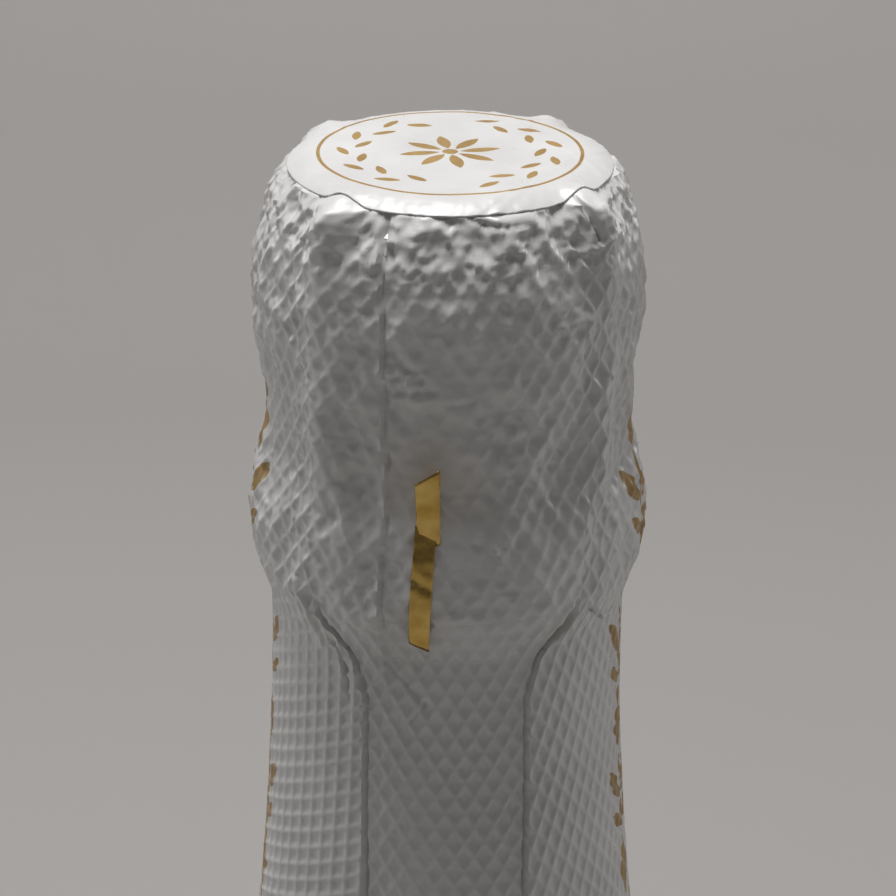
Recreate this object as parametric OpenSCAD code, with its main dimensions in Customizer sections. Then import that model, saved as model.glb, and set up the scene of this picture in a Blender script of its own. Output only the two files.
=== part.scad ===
// A sealed champagne bottle: glass, wine, cork, wire hood and foil capsule, in millimetres.
// The origin is the centre of the base, +Z runs up the bottle, and -Y is the front.
// Azimuths are degrees from the front, towards +X.

/* [Glass] */
// Height of the glass, base to mouth
bottle_h = 300; // [290:1:310]
// Diameter of the barrel
body_d = 88; // [84:0.5:94]
// Wall of the barrel and the shoulder
wall = 4.8; // [3.8:0.1:5.6]
// Rounding between the barrel and the base
heel_r = 8; // [5:0.5:10]
// Radius of the convex shoulder
shoulder_r = 120; // [100:5:150]
// Radius of the concave sweep from shoulder to neck
sweep_r = 324; // [300:1:340]
// Diameter at the top of that sweep, under the string ring
neck_d = 30.8; // [30.2:0.1:31.4]
// Height of the hollow in the base
punt_h = 38; // [30:1:42]
// Diameter of that hollow at the table
punt_d = 66; // [58:1:68]
// Rounding of the hollow's tip
punt_tip_r = 9; // [6:0.5:12]
// Glass over the hollow
base_t = 8; // [6:0.5:10]
// Diameter of the mouth's bore
bore_d = 17.6; // [17:0.1:18.6]
// Length of the straight bore
bore_h = 29; // [27:0.5:32]
// Diameter of the crown bead at the mouth
lip_d = 28.6; // [28:0.1:29.2]
// Height of the crown bead
lip_h = 8; // [6.5:0.1:8.6]
// Diameter between the bead and the ring
core_d = 27; // [26.4:0.1:27.8]
// Diameter of the string ring that holds the wires
ring_d = 30.9; // [30.3:0.1:31.3]
// Height of the string ring
ring_h = 5.6; // [4.8:0.1:6]
// Depth of the ring's underside below the mouth
ring_drop = 16; // [15.6:0.1:16.4]
// Diameter of the throat under the ring
throat_d = 28.2; // [27.8:0.1:28.4]

/* [Wine] */
// Depth of the wine below the mouth
ullage = 65; // [45:1:80]

/* [Cork] */
// Diameter of the cork's head
head_d = 30.8; // [30:0.1:31.4]
// Height of the cork's head above the mouth
head_h = 14.7; // [13.8:0.1:15.6]
// Length of the cork inside the neck
shank_h = 24; // [21:0.5:26]
// Thickness of each natural disc at the cork's foot
cork_disc_h = 5.5; // [4:0.1:6.5]

/* [Wire hood] */
// Diameter of the metal cap
plaque_d = 29.8; // [29:0.1:30.4]
// Thickness of the metal cap
plaque_t = 0.35; // [0.25:0.05:0.4]
// Height of the cap's raised middle
boss_h = 1; // [0.7:0.1:1.3]
// Diameter of the crown of the cage wire
crown_d = 24.8; // [24:0.1:25.4]
// Diameter of the cage wire
cage_wire_d = 0.8; // [0.7:0.02:0.86]
// Half turns in each twisted leg
leg_half_turns = 7; // [4:1:9]
// Bend of a leg over the cap's edge
leg_bend_r = 2.6; // [2.2:0.1:3]
// Azimuth of the first of the four legs
leg_azimuth = 51; // [45:1:57]
// Diameter of the belt wire
belt_wire_d = 0.9; // [0.8:0.02:1]
// Length of the twisted stem of the belt's loop
stem_h = 7; // [6:0.5:9]
// Half turns in that stem
stem_half_turns = 4; // [3:1:6]
// Height of the loop's eye
eye_h = 9; // [7:0.5:10]
// Width of the loop's eye
eye_w = 7; // [6:0.5:8]
// Azimuth of the loop
loop_azimuth = 186; // [180:1:192]

/* [Foil] */
// Thickness of the capsule
foil_t = 0.25; // [0.15:0.01:0.3]
// Height of the whole capsule
capsule_h = 118; // [100:1:125]
// Diameter of the disc on top
disc_d = 28.4; // [27.6:0.1:28.8]
// Depth of the tear strip's upper edge below the string ring
tear_drop = 4.8; // [4.6:0.1:5.2]
// Width of the tear strip
strip_w = 4; // [3.4:0.1:4.4]
// Height of each pleat pressed onto the neck
pleat_t = 0.4; // [0.2:0.05:0.5]
// Azimuth of the pleats from the front and from the back
pleat_azimuth = 28.5; // [24:0.5:34]
// Width of the gold tab
tab_w = 1.9; // [1.5:0.1:2.4]
// Height of the gold tab
tab_h = 17; // [14:0.5:19]
// Thickness of the gold tab
tab_t = 0.2; // [0.12:0.02:0.26]
// Azimuth of the gold tab
tab_azimuth = -6; // [-12:1:0]

/* [Hidden] */

$fn = 96;
// Segments of the long arcs, and of the wires' sections
arc_fn = 360;
wire_sides = 6;
// A length longer than any part, for cutting
far = 400;

// Play between pieces that lie on each other, that pass each other, and in the bore
seat = 0.05;
play = 0.1;
bore_play = 0.05;
wine_play = 0.3;

// Radii of the glass
body_r = body_d / 2;
neck_r = neck_d / 2;
punt_r = punt_d / 2;
bore_r = bore_d / 2;
lip_r = lip_d / 2;
ring_r = ring_d / 2;
throat_r = throat_d / 2;

// Heights of the glass: the string ring, the sweep's top, and the shoulder's two arcs,
// which are tangent to the barrel, to each other and to the neck
ring_z = bottle_h - ring_drop;
throat_drop = 4;
throat_run = 3;
neck_z = ring_z - throat_drop - throat_run;
narrowing = body_r - neck_r;
barrel_z = neck_z - sqrt(narrowing * (2 * (shoulder_r + sweep_r) - narrowing));
join_angle = asin((neck_z - barrel_z) / (shoulder_r + sweep_r));
sweep_x = neck_r + sweep_r;

// Radius of the glass's outside anywhere on the sweep
function sweep_radius(z, inset = 0) = sweep_x - sqrt(pow(sweep_r + inset, 2) - pow(neck_z - z, 2));

// Where the inside of the neck starts to narrow to the bore
bore_z = bottle_h - bore_h;
taper_run = 20;
taper_z = bore_z - taper_run;
inner_heel_r = 12;
mouth_ease = 0.8;
lip_round = 2;
ring_round = 1.6;

// Heights of the cork, the cap and the foil's top
cork_z = bottle_h + head_h;
head_r = head_d / 2;
head_round = 1.9;
plaque_r = plaque_d / 2;
plaque_z = cork_z + seat + plaque_t;
boss_r = crown_d / 2 - 2;
groove_half = 0.6;
rim_fall = 1.4;
crown_z = plaque_z + seat + cage_wire_d / 2;
flange_z = plaque_z + boss_h + play + foil_t;
disc_z = flange_z + seat;

// Twisted pairs: half the distance between the strands, and the pair's radius
twist_gap = 0.06;
cage_twist = (cage_wire_d + twist_gap) / 2;
cage_pair_r = cage_twist + cage_wire_d / 2;
belt_twist = (belt_wire_d + twist_gap) / 2;
belt_pair_r = belt_twist + belt_wire_d / 2;
leg_count = 4;
leg_step = 360 / leg_count;

// The legs stand off the cork's head and bend over the cap's edge to the crown
leg_r = max(head_r, ring_r) + play + cage_pair_r;
bend_z = crown_z - 0.15 - leg_bend_r;
leg_top_r = crown_d / 2 + 0.6;

// The belt runs in the throat through an eyelet at the foot of each leg
eyelet_r = (belt_wire_d + cage_wire_d) / 2 + play;
belt_r = throat_r + play + eyelet_r + cage_wire_d / 2;
belt_z = ring_z - play - eyelet_r - cage_wire_d / 2 - 0.35;
leg_foot_z = belt_z + eyelet_r + 2.4;

// The loop is folded up against the string ring
loop_r = ring_r + play + belt_pair_r;
loop_z = belt_z + belt_wire_d / 2 + 0.6;
eye_z = loop_z + stem_h;
loop_top = eye_z + eye_h;

// Levels of the foil
strip_top = ring_z - tear_drop;
strip_foot = strip_top - strip_w;
tear_gap = 0.05;
skirt_foot = disc_z + foil_t - capsule_h;
foil_gap = play + foil_t;

// Points along a straight line, a turn about a point, and a smooth rise from 0 to 1
function mix(a, b, t) = a + (b - a) * t;
function smooth(t) = let(u = min(1, max(0, t))) u * u * (3 - 2 * u);
function unit(v) = v / norm(v);
function wrap(a) = a - 360 * round(a / 360);
function polar(azimuth, p) = [p[0] * sin(azimuth), -p[0] * cos(azimuth), p[1]];

// A profile's outward side: the line runs upwards, as [radius, height] points
function line_normal(line, i) =
    let(a = line[max(0, i - 1)], b = line[min(len(line) - 1, i + 1)], d = unit(b - a)) [d[1], -d[0]];

module glass_colour() color([0.08, 0.2, 0.09, 0.8]) children();
module white_foil() color([0.88, 0.88, 0.87]) children();
module gold_foil() color([0.72, 0.55, 0.22]) children();
module steel() color([0.62, 0.62, 0.63]) children();

// A disc's half section, with its outer corners rounded
module rounded_slab(r, low, high, round_r) {
    translate([0, low]) square([r - round_r, high - low]);
    translate([0, low + round_r]) square([r, high - low - 2 * round_r]);
    for (z = [low + round_r, high - round_r]) translate([r - round_r, z]) circle(round_r);
}

// The barrel, the convex shoulder and the concave sweep, drawn in by inset all round
module body_section(inset) {
    join_z = barrel_z + (shoulder_r - inset) * sin(join_angle);
    translate([0, heel_r]) square([body_r - inset, barrel_z - heel_r]);
    intersection() {
        translate([body_r - shoulder_r, barrel_z]) circle(shoulder_r - inset, $fn = arc_fn);
        translate([0, barrel_z - 1]) square([body_d, join_z - barrel_z + 1]);
    }
    difference() {
        translate([0, join_z]) square([body_r, neck_z - join_z]);
        translate([sweep_x, neck_z]) circle(sweep_r + inset, $fn = arc_fn * 2);
    }
}

// The hollow in the base: a cone with a rounded tip, enlarged by grow all round
module punt_section(grow) {
    tip_z = punt_h - punt_tip_r;
    flank = atan2(tip_z, punt_r) + asin(punt_tip_r / norm([tip_z, punt_r]));
    tip_r = punt_tip_r + grow;
    touch = [tip_r * sin(flank), tip_z + tip_r * cos(flank)];
    below = 2;
    polygon([[0, -below], [touch[0] + (touch[1] + below) / tan(flank), -below], touch, [0, touch[1]]]);
    translate([0, tip_z]) intersection() {
        circle(tip_r);
        square(tip_r * 2);
    }
}

module glass_section() {
    body_section(0);
    square([body_r - heel_r, heel_r]);
    intersection() {
        translate([body_r - heel_r, heel_r]) circle(heel_r);
        translate([body_r - heel_r - 1, 0]) square([heel_r * 2, heel_r]);
    }
    polygon([[0, neck_z], [neck_r, neck_z], [throat_r, neck_z + throat_run],
             [throat_r, ring_z + ring_round], [0, ring_z + ring_round]]);
    rounded_slab(ring_r, ring_z, ring_z + ring_h, ring_round);
    translate([0, ring_z + 1]) square([core_d / 2, bottle_h - ring_z - 2]);
    rounded_slab(lip_r, bottle_h - lip_h, bottle_h, lip_round);
}

// The inside of the glass, below the level top
module cavity_section(top, inset, bore) {
    floor_z = base_t + inset;
    side = body_r - wall - inset;
    difference() {
        union() {
            translate([0, floor_z + inner_heel_r]) square([side, barrel_z - floor_z - inner_heel_r]);
            translate([0, floor_z]) square([side - inner_heel_r, inner_heel_r + 1]);
            translate([side - inner_heel_r, floor_z + inner_heel_r]) circle(inner_heel_r);
            intersection() {
                union() {
                    intersection() {
                        body_section(wall + inset);
                        translate([0, barrel_z - 2]) square([body_d, taper_z - barrel_z + 2]);
                    }
                    polygon([[0, taper_z], [sweep_radius(taper_z, wall + inset), taper_z],
                             [bore, bore_z], [bore, top], [0, top]]);
                }
                square([body_d, top]);
            }
        }
        punt_section(base_t + inset);
    }
}

module glass_bottle() glass_colour() rotate_extrude() difference() {
    glass_section();
    cavity_section(bottle_h + 1, 0, bore_r);
    punt_section(0);
    // The eased edge of the mouth
    polygon([[0, bottle_h - mouth_ease], [bore_r, bottle_h - mouth_ease],
             [bore_r + mouth_ease * 2, bottle_h + mouth_ease], [0, bottle_h + mouth_ease]]);
}

module wine() color([0.85, 0.75, 0.4, 0.7]) rotate_extrude() intersection() {
    cavity_section(bottle_h, wine_play, bore_r - wine_play);
    square([body_d, bottle_h - ullage]);
}

// The shank in the bore and the mushroom head over the mouth
module cork_body() color([0.74, 0.58, 0.4]) rotate_extrude() {
    shank_r = bore_r - bore_play;
    foot = bottle_h - shank_h + 2 * cork_disc_h;
    under = bottle_h + 0.15;
    translate([0, foot]) square([shank_r, shank_h + under - bottle_h - 2 * cork_disc_h]);
    polygon([[0, under], [lip_r - 1.6, under], [head_r - 0.3, under + 3.5],
             [head_r, under + 6], [head_r, cork_z - 2.5 * head_round], [0, cork_z - 2.5 * head_round]]);
    rounded_slab(head_r, cork_z - 4 * head_round, cork_z - rim_fall, head_round);
    translate([0, cork_z - rim_fall]) square([head_r - head_round - 0.8, rim_fall]);
}

module cork_disc(low) color([0.8, 0.65, 0.47])
    translate([0, 0, low]) cylinder(h = cork_disc_h, r = bore_r - bore_play);

module cork_disc_upper() cork_disc(bottle_h - shank_h + cork_disc_h);
module cork_disc_lower() cork_disc(bottle_h - shank_h);

// The cap: a raised middle, a groove for the crown of the wire, and a rim turned down
module cap_plaque() color([0.8, 0.8, 0.8]) rotate_extrude() {
    groove = crown_d / 2;
    top = [[0, plaque_z + boss_h], [boss_r, plaque_z + boss_h], [groove - groove_half, plaque_z],
           [groove + groove_half, plaque_z], [plaque_r, plaque_z - rim_fall]];
    last = len(top) - 1;
    polygon(concat(top, [for (i = [last:-1:0]) top[i] - [i == last ? 0.25 : 0, plaque_t]]));
}

// Rings of a round wire along a path, each turned as little as it can be from the last
function directions(path) = [for (i = [0:len(path) - 1])
    unit(path[min(i + 1, len(path) - 1)] - path[max(i - 1, 0)])];
function carried(normal, direction) = unit(normal - (normal * direction) * direction);
function normals(along, start) = [for (i = 0, n = carried(start, along[0]); i < len(along);
    i = i + 1, n = i < len(along) ? carried(n, along[i]) : n) n];

module wire(path, wire_r, start = [0, 0, 1]) {
    along = directions(path);
    across = normals(along, start);
    last = len(path) - 1;
    points = [for (i = [0:last]) let(side = cross(along[i], across[i]))
        for (k = [0:wire_sides - 1]) let(a = 360 * k / wire_sides)
            path[i] + wire_r * (cos(a) * across[i] + sin(a) * side)];
    walls = [for (i = [0:last - 1]) for (k = [0:wire_sides - 1])
        let(next = (k + 1) % wire_sides, a = i * wire_sides + k, b = i * wire_sides + next,
            c = a + wire_sides, d = b + wire_sides)
        each [[a, c, b], [b, c, d]]];
    ends = [[for (k = [0:wire_sides - 1]) k],
            [for (k = [wire_sides - 1:-1:0]) last * wire_sides + k]];
    polyhedron(points, concat(walls, ends));
}

// One leg's middle line, from the crown over the cap's edge and down to the eyelet
bend_steps = 5;
leg_line = concat(
    [[leg_top_r, crown_z + 0.02]],
    [for (i = [0:bend_steps]) let(a = 90 * (1 - i / bend_steps))
        [leg_r - leg_bend_r + leg_bend_r * cos(a), bend_z + leg_bend_r * sin(a)]],
    [[leg_r, leg_foot_z]]);
leg_bend_length = leg_bend_r * PI / 2;
leg_lead = leg_line[1][0] - leg_line[0][0];
leg_length = leg_lead + leg_bend_length + bend_z - leg_foot_z;

// A place on that line, a distance from its start, and the line's outward side there
function leg_point(s) = s < leg_lead ? mix(leg_line[0], leg_line[1], s / leg_lead)
    : s < leg_lead + leg_bend_length
    ? let(a = 90 * (1 - (s - leg_lead) / leg_bend_length))
      [leg_r - leg_bend_r + leg_bend_r * cos(a), bend_z + leg_bend_r * sin(a)]
    : [leg_r, bend_z - (s - leg_lead - leg_bend_length)];
function leg_side(s) = s < leg_lead ? [0, 1] : s < leg_lead + leg_bend_length
    ? let(a = 90 * (1 - (s - leg_lead) / leg_bend_length)) [cos(a), sin(a)] : [1, 0];

// A point beside a leg or the loop, from [outwards, sideways, up] there
function beside(azimuth, p) = [p[0] * sin(azimuth) + p[1] * cos(azimuth),
                               -p[0] * cos(azimuth) + p[1] * sin(azimuth), p[2]];

// One strand of a twisted leg, from the crown down
steps_per_half_turn = 4;
leg_steps = leg_half_turns * steps_per_half_turn;
function leg_strand(azimuth, start) = [for (i = [0:leg_steps])
    let(s = leg_length * i / leg_steps, turn = start + 180 * leg_half_turns * i / leg_steps,
        p = leg_point(s) + cage_twist * cos(turn) * leg_side(s))
    beside(azimuth, [p[0], cage_twist * sin(turn), p[1]])];

// The eyelet round the belt, from the foot of one strand to the foot of the other
eyelet_steps = 9;
eyelet_start = 15;
eyelet_sweep = 280;
foot_side = leg_half_turns % 2 == 0 ? -1 : 1;
function eyelet(azimuth) = [for (i = [0:eyelet_steps])
    let(t = i / eyelet_steps, a = eyelet_start - eyelet_sweep * t)
    beside(azimuth, [belt_r + eyelet_r * cos(a), foot_side * cage_twist * (1 - 2 * t),
                     belt_z + eyelet_r * sin(a)])];

// A quarter of the crown, between two legs
crown_steps = 8;
crown_trim = 5;
function crown_arc(from, to) = [for (i = [0:crown_steps])
    polar(mix(from, to, i / crown_steps), [crown_d / 2, crown_z])];

function reversed(list) = [for (i = [len(list) - 1:-1:0]) list[i]];
function one_leg(azimuth) = concat(leg_strand(azimuth, -90), eyelet(azimuth),
                                   reversed(leg_strand(azimuth, 90)));

// The cage is one wire: down and up each leg in turn, with the crown between the legs
cage_path = concat(
    crown_arc(leg_azimuth - leg_step / 2 + 0.3, leg_azimuth - crown_trim),
    [for (k = [0:leg_count - 1]) each concat(
        one_leg(leg_azimuth + k * leg_step),
        k < leg_count - 1
        ? crown_arc(leg_azimuth + k * leg_step + crown_trim, leg_azimuth + (k + 1) * leg_step - crown_trim)
        : crown_arc(leg_azimuth + k * leg_step + crown_trim, leg_azimuth + (k + 0.5) * leg_step - 0.3))]);

module cage_wire() steel() wire(cage_path, cage_wire_d / 2);

// The belt runs round the throat, and its two ends turn up to the foot of the loop
belt_trim = 5;
belt_foot_gap = 0.3;
belt_steps = 56;
function belt_turn(way) = [for (t = [0, 0.35, 0.7, 1]) beside(loop_azimuth, [
    mix(belt_r, loop_r, smooth(t)), way * mix(belt_r * sin(belt_trim) * 0.7, belt_twist, smooth(t)),
    mix(belt_z, loop_z - belt_foot_gap, pow(t, 1.6))])];
belt_path = concat(reversed(belt_turn(1)),
    [for (i = [0:belt_steps]) polar(loop_azimuth + belt_trim + (360 - 2 * belt_trim) * i / belt_steps,
                                    [belt_r, belt_z])],
    belt_turn(-1));

module belt_wire() steel() wire(belt_path, belt_wire_d / 2);

// The loop: a twisted stem and an open eye, one wire from foot to foot
stem_steps = stem_half_turns * steps_per_half_turn;
eye_steps = 16;
stem_lead = 0.4;
function stem_strand(start) = concat(
    [beside(loop_azimuth, [loop_r + belt_twist * cos(start), belt_twist * sin(start), loop_z])],
    [for (i = [0:stem_steps])
        let(turn = start + 180 * stem_half_turns * i / stem_steps)
        beside(loop_azimuth, [loop_r + belt_twist * cos(turn), belt_twist * sin(turn),
                              mix(loop_z + stem_lead, eye_z, i / stem_steps)])]);
eye_side = stem_half_turns % 2 == 0 ? 1 : -1;
eye_curve = [for (i = [1:eye_steps - 1]) let(a = 180 * i / eye_steps, half = (eye_w - belt_wire_d) / 2)
    beside(loop_azimuth, [loop_r, -eye_side * (half * sin(a * 2) * 0.5 + half * cos(a) * sin(a) * 0.4
                          + belt_twist * cos(a)), eye_z + (eye_h - belt_wire_d / 2) * sin(a)])];

module wire_loop() steel()
    wire(concat(stem_strand(-90), eye_curve, reversed(stem_strand(90))), belt_wire_d / 2, [1, 0, 0]);

// Columns of the foil's mesh, with one on every leg and two at every pleat
column_step = 5;
columns = [for (k = [0:360 / column_step - 1]) leg_azimuth + k * column_step];
pleat_edge = 0.5;
pleats = [pleat_azimuth, 180 - pleat_azimuth, 180 + pleat_azimuth, -pleat_azimuth];

// A foil shell between two lines, its outside lifted by rows of heights at the columns.
// Rows run from the bottom of the outside to its top, then down the inside.
module foil_shell(grid) {
    rows = len(grid);
    around = len(grid[0]);
    faces = [for (i = [0:rows - 1]) for (k = [0:around - 1])
        let(next = (k + 1) % around, up = (i + 1) % rows,
            a = i * around + k, b = i * around + next, c = up * around + k, d = up * around + next)
        each [[a, c, b], [b, c, d]]];
    polyhedron([for (row = grid) each row], faces);
}

function foil_grid(line, lift, azimuths) =
    let(last = len(line) - 1,
        skin = function(depth) [for (i = [0:last])
            [for (j = [0:len(azimuths(line[i][1])) - 1])
                let(n = line_normal(line, i), a = azimuths(line[i][1])[j])
                polar(a, line[i] + (lift(line[i], j, a) - depth) * n)]])
    concat(skin(0), reversed(skin(foil_t)));

// The foil stands out over the legs, up to tent_r, and over the folded loop
leg_tent_r = leg_r + cage_pair_r + foil_gap + 0.25;
loop_tent_r = loop_r + belt_pair_r + foil_gap + 0.15;
tent_run = 2.2;
leg_tent_half = 13;
loop_tent_flat = 16;
loop_tent_half = 30;
function leg_tent(a) = let(off = abs(wrap((a - leg_azimuth) * leg_count)) / leg_count)
    pow(cos(90 * min(1, off / leg_tent_half)), 2);
function loop_tent(a) = let(off = abs(wrap(a - loop_azimuth)))
    1 - smooth((off - loop_tent_flat) / (loop_tent_half - loop_tent_flat));
function hood_lift(p, a) = max(
    leg_tent(a) * min(1, max(0, flange_z - p[1]) / tent_run) * max(0, leg_tent_r - p[0]),
    loop_tent(a) * smooth((loop_top + 3 - p[1]) / 2) * max(0, loop_tent_r - p[0]));

// Outline of the hood, from its torn edge to the flange under the disc
bulge_r = ring_r + 2.35;
hood_line = [
    [bulge_r - 0.5, strip_top + tear_gap],
    [bulge_r - 0.15, ring_z - 3.6],
    [bulge_r, ring_z - 1.5],
    [bulge_r - 0.2, ring_z + 0.9],
    [bulge_r - 0.5, ring_z + 3.3],
    [ring_r + 1.15, ring_z + ring_h],
    [lip_r + 2.1, bottle_h - lip_h + 1.2],
    [lip_r + 2.4, bottle_h - 2.1],
    [head_r + 1.7, bottle_h + 2.5],
    [head_r + 1.7, cork_z - 8.5],
    [head_r + 1.4, cork_z - 5.4],
    [head_r + 0.7, cork_z - 3.2],
    [plaque_r + 0.5, plaque_z - 1.3],
    [disc_d / 2 + 0.5, flange_z - 0.5],
    [disc_d / 2, flange_z],
    [disc_d / 2 - 2.6, flange_z]];

module foil_hood() white_foil() foil_shell(foil_grid(
    hood_line, function(p, j, a) hood_lift(p, a), function(z) columns));

module top_disc() white_foil()
    translate([0, 0, disc_z]) cylinder(h = foil_t, d = disc_d);

// Under the bulge the foil draws in to the neck, and the strip lies on that slope
strip_top_r = bulge_r - 0.55;
strip_foot_r = neck_r + 0.6;
function strip_radius(z) = mix(strip_foot_r, strip_top_r,
    pow((z - strip_foot) / strip_w, 0.85));
strip_line = [for (i = [0:3]) let(z = mix(strip_foot, strip_top, i / 3)) [strip_radius(z), z]];

module tear_strip() white_foil() rotate_extrude()
    polygon(concat(strip_line, reversed([for (i = [0:3]) strip_line[i] - foil_t * line_normal(strip_line, i)])));

// The gold tape glued inside the strip
tape_t = 0.12;
tape_line = [for (t = [0.25, 0.75]) [mix(strip_foot_r, strip_top_r, t), mix(strip_foot, strip_top, t)]];
module tear_tape() gold_foil() rotate_extrude() {
    side = line_normal(tape_line, 0);
    polygon([for (d = [foil_t + seat + 0.1, foil_t + seat + 0.1 + tape_t]) each
        d > foil_t + seat + 0.11 ? [tape_line[1] - d * side, tape_line[0] - d * side]
                                 : [tape_line[0] - d * side, tape_line[1] - d * side]]);
}

// The tab: the tape's end, turned up over the foil, with a fold half way
tab_foot = strip_foot + 0.6;
fold_z = tab_foot + tab_h * 0.69;
fold_step = tab_t + 0.15;
tab_off = 0.2 + tab_t;
tab_line = [
    [strip_radius(tab_foot) + tab_off, tab_foot],
    [strip_radius(tab_foot + 2) + tab_off, tab_foot + 2],
    [bulge_r + tab_off, ring_z - 3.2],
    [bulge_r + tab_off + 0.05, ring_z - 1],
    [bulge_r + tab_off - 0.1, fold_z - 0.9],
    [bulge_r + tab_off - 0.1, fold_z - 0.2],
    [bulge_r + tab_off - 0.1 + fold_step, fold_z],
    [bulge_r + tab_off, tab_foot + tab_h]];
module tear_tab() gold_foil() rotate([0, 0, tab_azimuth - 90]) difference() {
    rotate([90, 0, 0]) linear_extrude(tab_w, center = true)
        polygon(concat(tab_line, reversed([for (i = [0:len(tab_line) - 1])
            tab_line[i] - tab_t * line_normal(tab_line, i)])));
    // Both ends are cut on the slant
    translate([0, 0, tab_foot + tab_h]) rotate([-38, 0, 0]) translate([0, -tab_w, 0]) cube([far, tab_w * 3, tab_w * 2]);
}

// Pleats: a sharp step at each fold, which fades away behind it, and flares at the top
pleat_fade = 20;
flare = 12;
flare_run = 6;
pleat_top = strip_foot - tear_gap;
function pleat_sign(a) = (abs(wrap(a)) < 90 ? 1 : -1) * (wrap(a) < 0 ? -1 : 1);
function pleat_off(a) = min([for (p = pleats) abs(wrap(a - p))]);
function pleat_lift(j) = let(
        behind = [for (edge = pleats) pleat_sign(edge) * wrap(skirt_columns[j] - edge)],
        near = min([for (b = behind) b >= 0 ? b : 360]))
    near > pleat_fade ? 0 : pleat_t * (1 - near / pleat_fade);
skirt_plain = [for (k = [0:360 / column_step - 1]) k * column_step - 180];
function too_close(a) = min([for (edge = pleats) abs(wrap(a - edge))]) < column_step / 2;
skirt_columns_loose = concat([for (a = skirt_plain) if (!too_close(a)) a],
    [for (edge = pleats) each [wrap(edge - pleat_edge / 2), wrap(edge + pleat_edge / 2)]]);
function sorted(list) = len(list) < 2 ? list : let(pivot = list[floor(len(list) / 2)])
    concat(sorted([for (x = list) if (x < pivot) x]), [for (x = list) if (x == pivot) x],
           sorted([for (x = list) if (x > pivot) x]));
skirt_columns = sorted(skirt_columns_loose);
function flared(z) = [for (a = skirt_columns)
    let(edge_off = min([for (edge = pleats) abs(wrap(a - edge))]))
    a + flare * smooth((z - pleat_top + flare_run) / flare_run) * pleat_sign(a)
        * max(0, 1 - edge_off / 25)];

// The skirt follows the glass of the neck down to the capsule's foot
skirt_gap = 0.25;
skirt_rows = 12;
skirt_line = [for (i = [0:skirt_rows])
    let(z = mix(skirt_foot, pleat_top, 1 - pow(1 - i / skirt_rows, 1.3)))
    [sweep_radius(min(z, neck_z)) + skirt_gap + foil_t, z]];

module foil_skirt() white_foil() foil_shell(foil_grid(
    skirt_line, function(p, j, a) pleat_lift(j), function(z) flared(z)));

glass_bottle();
wine();
cork_body();
cork_disc_upper();
cork_disc_lower();
cap_plaque();
cage_wire();
belt_wire();
wire_loop();
foil_hood();
top_disc();
tear_strip();
tear_tape();
tear_tab();
foil_skirt();
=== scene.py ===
"""A sealed champagne bottle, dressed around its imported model: the crumpled, diamond-embossed foil with
its gold print and tear tab, the glass, the cork and the wires, seen from above in front.
Azimuths are degrees from the front, -Y, towards +X. Foil sizes are millimetres, as the CAD model has them."""

import math

import bpy
import numpy as np
from mathutils import Matrix, Vector, noise


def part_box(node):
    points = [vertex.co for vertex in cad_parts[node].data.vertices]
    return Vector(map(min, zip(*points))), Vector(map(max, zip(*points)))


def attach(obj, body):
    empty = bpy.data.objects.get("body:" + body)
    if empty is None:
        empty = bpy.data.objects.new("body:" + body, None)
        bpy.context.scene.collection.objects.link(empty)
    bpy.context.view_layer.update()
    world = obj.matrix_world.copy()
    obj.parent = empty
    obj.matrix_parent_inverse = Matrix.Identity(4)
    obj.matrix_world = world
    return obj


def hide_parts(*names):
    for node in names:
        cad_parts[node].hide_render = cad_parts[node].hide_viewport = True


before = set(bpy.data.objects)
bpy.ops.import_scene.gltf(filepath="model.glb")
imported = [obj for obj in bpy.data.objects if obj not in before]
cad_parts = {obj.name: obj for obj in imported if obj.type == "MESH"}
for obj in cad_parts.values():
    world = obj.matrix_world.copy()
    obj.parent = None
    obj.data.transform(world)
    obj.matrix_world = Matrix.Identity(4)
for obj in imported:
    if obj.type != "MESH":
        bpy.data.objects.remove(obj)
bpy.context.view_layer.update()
MM = 0.001

# The camera, from where the bottle's neck stands in the photograph
LENS_MM = 114.9
SENSOR_MM = 36.0
CAMERA_DISTANCE = 260.2
CAMERA_DOWN_DEG = 24.0
CAMERA_ROLL_DEG = 0.42
CENTRE_Z = 288.5

# Levels and a radius of the foil, which the CAD nodes give
DISC_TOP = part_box("top_disc")[1][2] / MM
DISC_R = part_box("top_disc")[1][0] / MM
STRIP_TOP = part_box("tear_strip")[1][2] / MM
STRIP_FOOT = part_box("tear_strip")[0][2] / MM
SKIRT_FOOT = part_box("foil_skirt")[0][2] / MM

# Azimuths of a front leg of the wire hood, its loop, the foil's overlap, a pleat and the tab
LEG_AZIMUTH = 51.0
LOOP_AZIMUTH = 186.0
SEAM_AZIMUTH = -19.0
PLEAT_AZIMUTH = 27.0
TAB_AZIMUTH = -5.6

# The foil's outline between the wires, from foot to rim, as heights and radii
OUTLINE = [(198.0, 25.8), (206.0, 23.9), (214.0, 22.2), (222.0, 20.7), (230.0, 19.4), (236.0, 18.55),
           (241.0, 17.95), (247.8, 17.3), (255.8, 16.7), (261.1, 16.4), (268.8, 16.15), (272.6, 16.1),
           (275.1, 16.15), (277.6, 16.85), (280.0, 17.6), (282.5, 17.85), (284.9, 17.7), (287.3, 17.35),
           (289.7, 16.75), (293.2, 16.5), (297.9, 16.75), (302.5, 17.1), (307.1, 17.05), (309.3, 16.8),
           (311.5, 16.2), (313.8, 15.4), (314.8, 14.95), (315.6, 14.35)]
RIM_Z = OUTLINE[-1][0]
FOIL_T = 0.12
SEAM_GAP = 0.012
# Lengths round the foil are taken at this radius
ARC_R = 17.0


def smooth(t):
    """A soft step from 0 to 1, while t goes from 0 to 1."""
    t = np.clip(t, 0.0, 1.0)
    return t * t * (3.0 - 2.0 * t)


def above(z, level, over):
    """0 up to a level, then a soft rise to 1 over the stretch beyond it."""
    return smooth((z - level) / over)


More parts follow.
